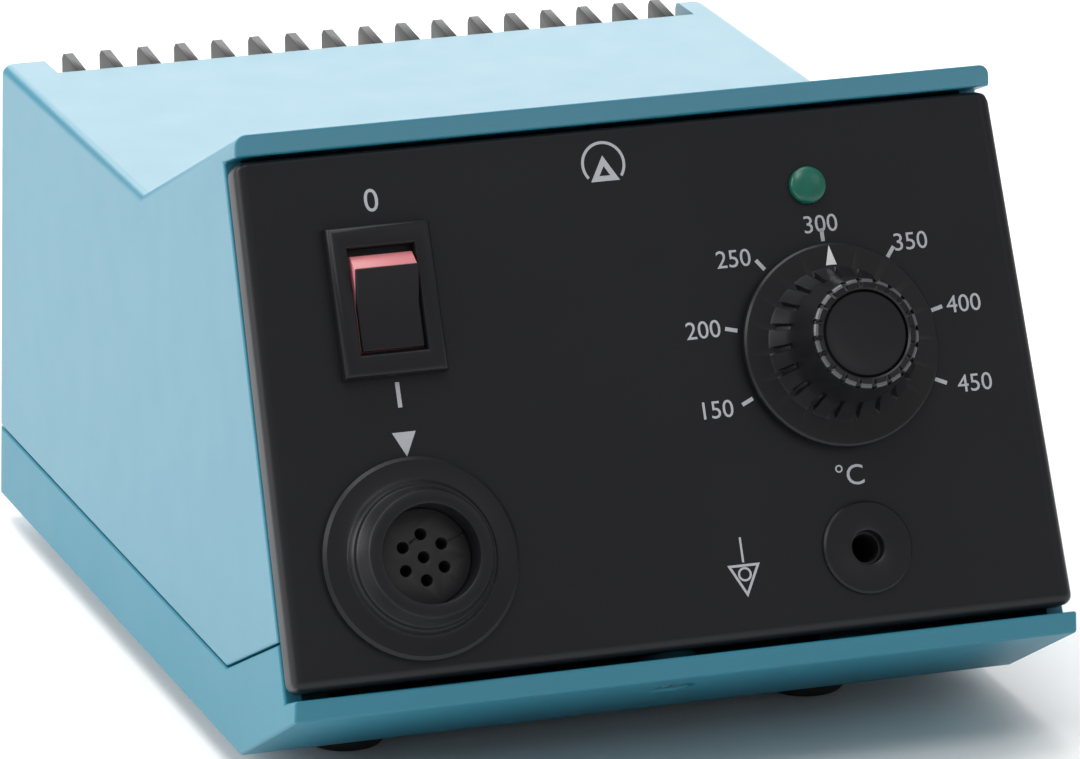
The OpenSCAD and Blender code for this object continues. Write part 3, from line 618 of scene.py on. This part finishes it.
# %% Dial knob
RIBS = 20
POINTS_PER_RIB = 12
GROOVE_HALF = 1
GROOVE_PULL = 0.925
knob_low, knob_high = panel_box("dial_knob")
KNOB_U, KNOB_V = panel_middle("dial_knob")
SKIRT_R = (knob_high.x - knob_low.x) / 2 / MM
KNOB_FOOT = knob_low.z / MM
KNOB_TOP = knob_high.z / MM
SKIRT_TOP = KNOB_FOOT + 1.4
CROWN_R = 7.1
GRIP_R = 10.7
knob_profile = [
    (3.3, KNOB_FOOT), (SKIRT_R - 0.2, KNOB_FOOT), (SKIRT_R, KNOB_FOOT + 0.2),
    (SKIRT_R, SKIRT_TOP - 0.3), (SKIRT_R - 0.3, SKIRT_TOP), (GRIP_R + 0.15, SKIRT_TOP + 0.1),
    (GRIP_R, SKIRT_TOP + 0.3), (10.2, 3.3), (9.3, 4.6), (8.75, 6.0), (8.4, 8.0), (8.0, 10.2),
    (7.75, KNOB_TOP - 0.7), (7.62, KNOB_TOP - 0.35), (7.4, KNOB_TOP - 0.1), (CROWN_R, KNOB_TOP),
    (6.4, KNOB_TOP - 0.12), (6.15, KNOB_TOP - 0.4), (6.12, KNOB_TOP - 1.75),
    (3.3, KNOB_TOP - 1.75), (3.3, KNOB_FOOT),
]
turned(knob_profile, RIBS * POINTS_PER_RIB)


def in_groove(point, inner, outer):
    """Whether a point between two radii in mm lies at one of the grooves."""
    radius = math.hypot(point.x, point.y) / MM
    turn = math.atan2(point.y, point.x) / (2 * math.pi) * RIBS
    off = abs(turn - round(turn)) * POINTS_PER_RIB
    return inner < radius < outer and off < GROOVE_HALF + 0.5


KNOB_ORIGIN_H = KNOB_FOOT * MM
found = pick("VERT", lambda p: in_groove(p, 8.9, GRIP_R + 0.05) and p.z + KNOB_ORIGIN_H > (SKIRT_TOP + 0.2) * MM)
bpy.ops.transform.resize(value=(GROOVE_PULL, GROOVE_PULL, 1), center_override=(0, 0, 0))
pick("VERT", lambda p: in_groove(p, CROWN_R - 0.05, 7.65) and p.z + KNOB_ORIGIN_H > (KNOB_TOP - 0.4) * MM)
bpy.ops.transform.translate(value=(0, 0, -0.55 * MM))
close_piece("dial_grip", FINISHES["knob_plastic"], "dial", ["dial_knob"],
            on_panel(KNOB_U, KNOB_V), smooth=28)
print("  groove points:", found)

# %% [markdown]
# The crown's teeth catch the light on their rounded top edge, so they look lighter than the rest
# of the knob. This is a painted highlight: only the top faces of the teeth get the lighter finish.

# %% Crown with painted highlight
grip = bpy.context.object
grip.data.materials.append(FINISHES["knob_crown"])
flat = on_panel(KNOB_U, KNOB_V).inverted()
teeth = 0
for polygon in grip.data.polygons:
    centre = flat @ polygon.center
    outward = flat.to_3x3() @ polygon.normal
    radius = math.hypot(centre.x, centre.y) / MM
    if CROWN_R < radius < CROWN_R + 0.6 and centre.z > (KNOB_TOP - 0.4) * MM and outward.z > 0.3:
        polygon.material_index = 1
        teeth += 1
print("painted highlight faces:", teeth)

# %% Knob cap
CAP_R = 6.0
CAP_SINK = 0.5
turned([
    (0.5, KNOB_TOP - 1.7), (CAP_R, KNOB_TOP - 1.7), (CAP_R, KNOB_TOP - CAP_SINK - 0.25),
    (CAP_R - 0.25, KNOB_TOP - CAP_SINK), (5.2, KNOB_TOP - CAP_SINK), (4.6, KNOB_TOP - CAP_SINK - 0.12),
    (2.5, KNOB_TOP - CAP_SINK - 0.2), (0.5, KNOB_TOP - CAP_SINK - 0.22),
])
close_piece("dial_cap", FINISHES["knob_plastic"], "dial", ["knob_cap"],
            on_panel(KNOB_U, KNOB_V))

# %% [markdown]
# ## The iron socket
# The socket is a flange, a step and a mouth that stands out of the panel, all one round
# moulding, with an insert a few millimetres down that holds seven contacts. The insert's holes
# stay the CAD's, because their places matter, and only their rims are softened.

# %% Iron socket
shell_low, shell_high = panel_box("socket_shell")
SOCKET_U, SOCKET_V = panel_middle("socket_shell")
FLANGE_R = (shell_high.x - shell_low.x) / 2 / MM
MOUTH_TOP = shell_high.z / MM
BARREL_END = shell_low.z / MM
BORE_R = 6.8
turned([
    (BORE_R, BARREL_END), (9.5, BARREL_END), (9.5, 0), (FLANGE_R, 0), (FLANGE_R, 0.8),
    (FLANGE_R - 0.5, 1.25), (11.2, 1.3), (10.75, 1.45), (10.5, 1.8), (10.4, 2.25), (10.1, 2.6),
    (9.75, 2.65), (9.5, 2.9), (8.95, MOUTH_TOP - 0.45), (8.75, MOUTH_TOP - 0.1),
    (8.5, MOUTH_TOP), (7.2, MOUTH_TOP), (6.95, MOUTH_TOP - 0.1), (BORE_R, MOUTH_TOP - 0.45),
    (BORE_R, BARREL_END),
])
close_piece("socket_collar", FINISHES["black_moulding"], "station",
            ["socket_shell"], on_panel(SOCKET_U, SOCKET_V))

copy_of_node("socket_insert")
insert_top = panel_box("socket_insert")[1].z


def on_insert_face(a, b):
    """Whether an edge lies in the insert's outer face."""
    return all(abs((back @ p).z - insert_top) < SURFACE_MM * MM for p in (a, b))


pick("EDGE", on_insert_face)
bpy.ops.mesh.bevel(offset=0.2 * MM, segments=2, affect="EDGES", clamp_overlap=False)
close_piece("socket_core", FINISHES["insert_plastic"], "station", ["socket_insert"])

# %% [markdown]
# ## The bonding jack and the lamp
# The jack is a flat black disc with a countersunk hole that a plug enters. The lamp's lens is a
# low dome on a straight barrel.

# %% Bonding jack
jack_low, jack_high = panel_box("jack_body")
JACK_U, JACK_V = panel_middle("jack_body")
JACK_R = (jack_high.x - jack_low.x) / 2 / MM
JACK_FACE = jack_high.z / MM
JACK_END = jack_low.z / MM
JACK_BORE = 2.3
turned([
    (JACK_BORE, JACK_END), (4.4, JACK_END), (4.4, 0), (JACK_R, 0), (JACK_R, JACK_FACE - 0.3),
    (JACK_R - 0.3, JACK_FACE), (JACK_BORE + 0.5, JACK_FACE), (JACK_BORE + 0.1, JACK_FACE - 0.2),
    (JACK_BORE, JACK_FACE - 0.5), (JACK_BORE, JACK_END),
], 64)
close_piece("jack_disc", FINISHES["black_moulding"], "station", ["jack_body"],
            on_panel(JACK_U, JACK_V))

# %% Lamp lens
lens_low, lens_high = panel_box("lamp_lens")
LAMP_U, LAMP_V = panel_middle("lamp_lens")
LENS_FOOT = lens_low.z / MM
LENS_TOP = lens_high.z / MM
LENS_R = 2.6
DOME_STEPS = 7
dome_foot = LENS_TOP - 0.8
dome = [(LENS_R * math.cos(a), dome_foot + 0.8 * math.sin(a))
        for a in [math.pi / 2 * 0.94 * i / DOME_STEPS for i in range(DOME_STEPS + 1)]]
turned([(1.0, LENS_FOOT), (3.1, LENS_FOOT), (3.1, LENS_FOOT + 1), (LENS_R, LENS_FOOT + 1), *dome], 64)
close_piece("lamp_dome", FINISHES["green_lens"], "station", ["lamp_lens"],
            on_panel(LAMP_U, LAMP_V), smooth=50)

# %% [markdown]
# ## The rocker switch
# A snap-in frame surrounds the rocker. A cube gives the frame's block: its top face is inset and
# pushed down to make the well, and its outer edges get a wide soft chamfer. The rocker and its
# dark face keep the CAD's outline, because they have to swing inside the frame, and get rounded
# edges of their own.

# %% Switch frame
frame_low, frame_high = panel_box("switch_frame")
SWITCH_U, SWITCH_V = panel_middle("switch_frame")
FRAME_SIZE = frame_high - frame_low
FRAME_TOP = frame_high.z
rocker_low, rocker_high = panel_box("rocker_face")
ROCKER_W = rocker_high.x - rocker_low.x
WELL_MARGIN = 0.3 * MM
WELL_LENGTH = 14.8 * MM
FRAME_CHAMFER = 0.9 * MM

bpy.ops.object.select_all(action="DESELECT")
bpy.ops.mesh.primitive_cube_add(
    size=1, location=(0, 0, FRAME_TOP / 2), scale=(FRAME_SIZE.x, FRAME_SIZE.y, FRAME_TOP)
)
bpy.ops.object.transform_apply(location=True, rotation=True, scale=True)
open_piece()
pick("EDGE", lambda a, b: a.z > FRAME_TOP / 2 and b.z > FRAME_TOP / 2)
bpy.ops.mesh.bevel(offset=FRAME_CHAMFER, segments=3, affect="EDGES")
pick("FACE", lambda c, n: n.z > 0.99 and c.z > FRAME_TOP / 2)
bpy.ops.mesh.extrude_region_move()
bpy.ops.transform.resize(
    value=((ROCKER_W + 2 * WELL_MARGIN) / (FRAME_SIZE.x - 2 * FRAME_CHAMFER),
           WELL_LENGTH / (FRAME_SIZE.y - 2 * FRAME_CHAMFER), 1),
    center_override=(0, 0, FRAME_TOP),
)
bpy.ops.mesh.extrude_region_move(TRANSFORM_OT_translate={"value": (0, 0, frame_low.z - FRAME_TOP + 2 * MM)})
pick("EDGE", lambda a, b: abs(a.x) < ROCKER_W and abs(a.z - FRAME_TOP) < 1e-5 and abs(b.z - FRAME_TOP) < 1e-5
     and max(abs(a.x), abs(b.x)) < ROCKER_W / 2 + 2 * WELL_MARGIN and max(abs(a.y), abs(b.y)) < WELL_LENGTH / 2 + 1e-4)
bpy.ops.mesh.bevel(offset=0.35 * MM, segments=2, affect="EDGES")
bpy.ops.mesh.select_all(action="SELECT")
bpy.ops.mesh.normals_make_consistent(inside=False)
close_piece("switch_bezel", FINISHES["black_moulding"], "station",
            ["switch_frame"], on_panel(SWITCH_U, SWITCH_V))

# %% Rocker
for node, name, finish_name, edge_mm in (
    ("rocker", "rocker_key", "red_rocker", 0.35),
    ("rocker_face", "rocker_skin", "black_moulding", 0.25),
):
    copy_of_node(node)
    bpy.ops.mesh.select_all(action="SELECT")
    soften(edge_mm, 3, 35)
    close_piece(name, FINISHES[finish_name], "rocker", [node])

# %% [markdown]
# ## Feet and screws
# The four rubber feet are one turned shape, copied to each place that the CAD gives. The screw
# heads sit in recesses under the base. Their cross recess is cut by a boolean with two crossed
# bars, which is what the heading punch does to the real screw.

# %% Feet
feet_low, feet_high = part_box("rubber_feet")
FOOT_R = 5.7
foot_profile = [
    (4.4, 0), (5.2, 0.15), (5.6, 0.6), (FOOT_R, 1.2), (FOOT_R, 3.7), (FOOT_R - 0.25, 4.0),
    (1.9, 4.0), (1.9, 6.4), (2.15, 6.6), (2.1, 7.3), (1.5, 7.7),
]
foot_places = [(x, y) for x in (feet_low.x, feet_high.x) for y in (feet_low.y, feet_high.y)]
for number, (x, y) in enumerate(foot_places):
    turned(foot_profile, 64)
    centre = Matrix.Translation((x - math.copysign(FOOT_R * MM, x), y - math.copysign(FOOT_R * MM, y), 0))
    close_piece(f"foot_{number}", FINISHES["foot_rubber"], "station",
                ["rubber_feet"], centre)

# %% Screws
SCREW_HEAD_R = 2.8
HEAD_PROFILE = [
    (1.2, 11.0), (1.2, 1.8), (SCREW_HEAD_R, 1.8), (SCREW_HEAD_R, 0.7), (2.5, 0.25), (1.8, 0.02),
    (0.4, 0),
]


def crossed_screw(name, node, place):
    """A pan head screw with a cross recess, its head's top at the origin and its shank along z."""
    turned(HEAD_PROFILE, 48)
    bpy.ops.object.mode_set(mode="OBJECT")
    screw = bpy.context.object
    bars = []
    for turn in (0, math.pi / 2):
        bpy.ops.mesh.primitive_cube_add(
            size=1, location=(0, 0, 0.2 * MM), rotation=(0, 0, turn), scale=(3.4 * MM, 0.65 * MM, 1.6 * MM)
        )
        bars.append(bpy.context.object)
    for bar in bars:
        cut = screw.modifiers.new("cross", "BOOLEAN")
        cut.object = bar
        cut.solver = "EXACT"
        bpy.context.view_layer.objects.active = screw
        bpy.ops.object.modifier_apply(modifier="cross")
        bpy.data.objects.remove(bar)
    bpy.context.view_layer.objects.active = screw
    return close_piece(name, FINISHES["zinc_steel"], "station", [node], place, 30)


screw_low, screw_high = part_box("cover_screws")
head_z = screw_low.z
number = 0
for x in (screw_low.x + SCREW_HEAD_R * MM, screw_high.x - SCREW_HEAD_R * MM):
    for y in (screw_low.y + SCREW_HEAD_R * MM, screw_high.y - SCREW_HEAD_R * MM):
        crossed_screw(f"cover_screw_{number}", "cover_screws", Matrix.Translation((x, y, head_z)))
        number += 1

# %% [markdown]
# The screw that holds the panel sits square to the slanting underside. Its middle and its
# direction are measured on the CAD screw: the head's flat end is the widest flat face that looks
# down and forwards.

# %% Panel screw
screw_faces = sorted(frame["nodes"]["panel_screw"].data.polygons, key=lambda f: f.normal.z)
end_points = [v.co for v in frame["nodes"]["panel_screw"].data.vertices]
down = screw_faces[0].normal.copy()
reach = max(p.dot(down) for p in end_points)
end_ring = [p for p in end_points if reach - p.dot(down) < SURFACE_MM * MM]
head_middle = sum(end_ring, Vector()) / len(end_ring)
place = Matrix.Translation(head_middle) @ (-down).to_track_quat("Z", "Y").to_matrix().to_4x4()
crossed_screw("front_screw", "panel_screw", place)

# %% [markdown]
# ## Mains inlet
# The inlet and its fuse drawer are standard parts at the rear. Their CAD outline is exact, so a
# copy with softened edges is all they need.

# %% Inlet and fuse drawer
for node, name, body, edge_mm in (
    ("inlet_body", "inlet_shell", "station", 0.3),
    ("fuse_drawer", "drawer_front", "fuse_drawer", 0.25),
):
    copy_of_node(node, whole=False)
    soften(edge_mm, 2, 40)
    close_piece(name, FINISHES["black_moulding"], body, [node])

# %% [markdown]
# ## The print
# The white marks are screen printed: a film a few hundredths of a millimetre thick. Numbers come
# from text objects, and bars and triangles from primitives. All are built flat, given the film's
# thickness, and joined into a few pieces.

# %% Print helpers
FILM_MM = 0.03
SINK_MM = 0.02


def flat_bar(u, v, length, width, turn=0.0):
    """A printed bar of length and width in mm, centred at (u, v) mm and turned by degrees."""
    bpy.ops.object.select_all(action="DESELECT")
    bpy.ops.mesh.primitive_cube_add(
        size=1, location=(u * MM, v * MM, (FILM_MM - SINK_MM) / 2 * MM),
        rotation=(0, 0, math.radians(turn)), scale=(length * MM, width * MM, (FILM_MM + SINK_MM) * MM),
    )
    return bpy.context.object


def raise_film():
    """Gives a flat face of the active piece the film's thickness, from just below the surface."""
    bpy.ops.mesh.select_all(action="SELECT")
    bpy.ops.transform.translate(value=(0, 0, -SINK_MM * MM))
    bpy.ops.mesh.extrude_region_move(TRANSFORM_OT_translate={"value": (0, 0, (FILM_MM + SINK_MM) * MM)})
    bpy.ops.mesh.select_all(action="SELECT")
    bpy.ops.mesh.normals_make_consistent(inside=False)
    bpy.ops.object.mode_set(mode="OBJECT")


def flat_triangle(u, v, width, height, points_up, line=0.0):
    """A printed triangle whose box is centred at (u, v) mm, filled or drawn with a line."""
    bpy.ops.object.select_all(action="DESELECT")
    bpy.ops.mesh.primitive_circle_add(vertices=3, radius=MM, fill_type="NGON")
    bpy.ops.object.mode_set(mode="EDIT")
    bpy.ops.mesh.select_all(action="SELECT")
    sign = 1 if points_up else -1
    bpy.ops.transform.translate(value=(0, -0.25 * MM, 0))
    bpy.ops.transform.resize(value=(width / math.sqrt(3), height / 1.5, 1), center_override=(0, 0, 0))
    if not points_up:
        bpy.ops.transform.rotate(value=math.pi, orient_axis="Z", center_override=(0, 0, 0))
    bpy.ops.transform.translate(value=(u * MM, v * MM, 0))
    if line:
        bpy.ops.mesh.inset(thickness=line * MM, depth=0)
        bpy.ops.mesh.delete(type="FACE")
    raise_film()
    return bpy.context.object


def flat_arc(u, v, radius, line, open_from=None, open_to=None, points=48):
    """A printed ring centred at (u, v) mm, left open between two angles in degrees."""
    bpy.ops.object.select_all(action="DESELECT")
    bpy.ops.mesh.primitive_circle_add(vertices=points, radius=radius * MM, fill_type="NOTHING")
    bpy.ops.object.mode_set(mode="EDIT")
    bpy.ops.mesh.select_all(action="SELECT")
    bpy.ops.mesh.extrude_region_move()
    inner = (radius - line) / radius
    bpy.ops.transform.resize(value=(inner, inner, 1), center_override=(0, 0, 0))
    if open_from is not None:
        pick("FACE", lambda c, n: open_from < math.degrees(math.atan2(c.y, c.x)) % 360 < open_to)
        bpy.ops.mesh.delete(type="FACE")
    bpy.ops.mesh.select_all(action="SELECT")
    bpy.ops.transform.translate(value=(u * MM, v * MM, 0))
    raise_film()
    return bpy.context.object


def flat_text(words, u, v, height):
    """Printed figures whose box is centred at (u, v) mm, with the given height in mm."""
    bpy.ops.object.select_all(action="DESELECT")
    bpy.ops.object.text_add()
    text = bpy.context.object
    text.data.body = words
    text.data.resolution_u = 4
    text.data.extrude = 0.5
    bpy.ops.object.convert(target="MESH")
    text = bpy.context.object
    xs = [p.co.x for p in text.data.vertices]
    ys = [p.co.y for p in text.data.vertices]
    middle = Vector(((min(xs) + max(xs)) / 2, (min(ys) + max(ys)) / 2, 0))
    size = height * MM / (max(ys) - min(ys))
    text.matrix_world = (
        Matrix.Translation((u * MM, v * MM, (FILM_MM - SINK_MM) / 2 * MM))
        @ Matrix.Diagonal((size, size, (FILM_MM + SINK_MM) * MM, 1))
        @ Matrix.Translation(-middle)
    )
    return text


def printed(name, marks, place, body="station", ink=WHITE_PRINT):
    """Joins printed marks into one piece and puts it on the panel."""
    for mark in marks:
        bpy.ops.object.select_all(action="DESELECT")
        mark.select_set(True)
        bpy.context.view_layer.objects.active = mark
        bpy.ops.object.transform_apply(location=True, rotation=True, scale=True)
    for mark in marks:
        mark.select_set(True)
    bpy.context.view_layer.objects.active = marks[0]
    if len(marks) > 1:
        bpy.ops.object.join()
    return close_piece(name, ink, body, (), place, 30)


# %% [markdown]
# The dial's scale runs from 150 to 450 degrees in steps of fifty, each a turn of 38 degrees. The
# figures stand upright, so their centres lie on an oval that is a little wider than it is high.

# %% Dial scale
SCALE_LOW, SCALE_HIGH, SCALE_STEP = 150, 450, 50
STEP_TURN = 38.0
TICK_FROM, TICK_TO, TICK_W = 14.8, 16.6, 0.55
FIGURE_H = 2.45
FIGURE_ACROSS, FIGURE_UP = 19.9, 17.3
FIGURE_NUDGE = {150: -0.6, 250: -1.2, 350: 0.6, 450: 1.1}
marks = []
middle_value = (SCALE_LOW + SCALE_HIGH) / 2
for value in range(SCALE_LOW, SCALE_HIGH + 1, SCALE_STEP):
    angle = 90 - (value - middle_value) / SCALE_STEP * STEP_TURN
    cos, sin = math.cos(math.radians(angle)), math.sin(math.radians(angle))
    tick = (TICK_FROM + TICK_TO) / 2
    marks.append(flat_bar(tick * cos, tick * sin, TICK_TO - TICK_FROM, TICK_W, angle))
    nudge = FIGURE_NUDGE.get(value, 0)
    marks.append(flat_text(str(value), FIGURE_ACROSS * cos + nudge, FIGURE_UP * sin, FIGURE_H))
marks.append(flat_text("°C", -1.0, -18.0, 3.0))
printed("dial_scale", marks, on_panel(KNOB_U, KNOB_V))

# %% Pointer
POINTER_W, POINTER_L = 1.9, 3.3
POINTER_MIDDLE = 12.25
pointer = flat_triangle(0, POINTER_MIDDLE, POINTER_W, POINTER_L, True)
printed("dial_pointer", [pointer], on_panel(KNOB_U, KNOB_V, (SKIRT_TOP + 0.06) * MM), "dial", POINTER_PRINT)

# %% [markdown]
# A nought above the switch and a bar below it give its positions, and a triangle points to the
# iron's socket. Beside the jack a plain sign shows that it is for bonding, and at the top of the
# panel an arc over a triangle stands for parts that static would harm.

# %% Switch marks and signs
PANEL_MID = PANEL_L / MM
nought = flat_text("0", 0.1, 14.0, 3.2)
stroke = flat_bar(0.2, -13.05, 3.5, 0.6, 90)
arrow = flat_triangle(0.2, -19.9, 3.4, 3.4, False)
printed("switch_marks", [nought, stroke, arrow], on_panel(SWITCH_U, SWITCH_V))

wire = flat_bar(9.2, 12.6, 3.5, 0.3, 90)
sign = flat_triangle(9.2, 8.3, 4.8, 4.6, False, 0.35)
ring = flat_arc(9.2, 9.2, 1.0, 0.3)
printed("bonding_sign", [wire, sign, ring], PANEL)

arc = flat_arc(0, 0, 3.2, 0.4, 215, 325)
peak = flat_triangle(0, -0.6, 4.2, 3.6, True, 0.75)
printed("static_sign", [arc, peak], on_panel(-2.85 * MM, 67.9 * MM))
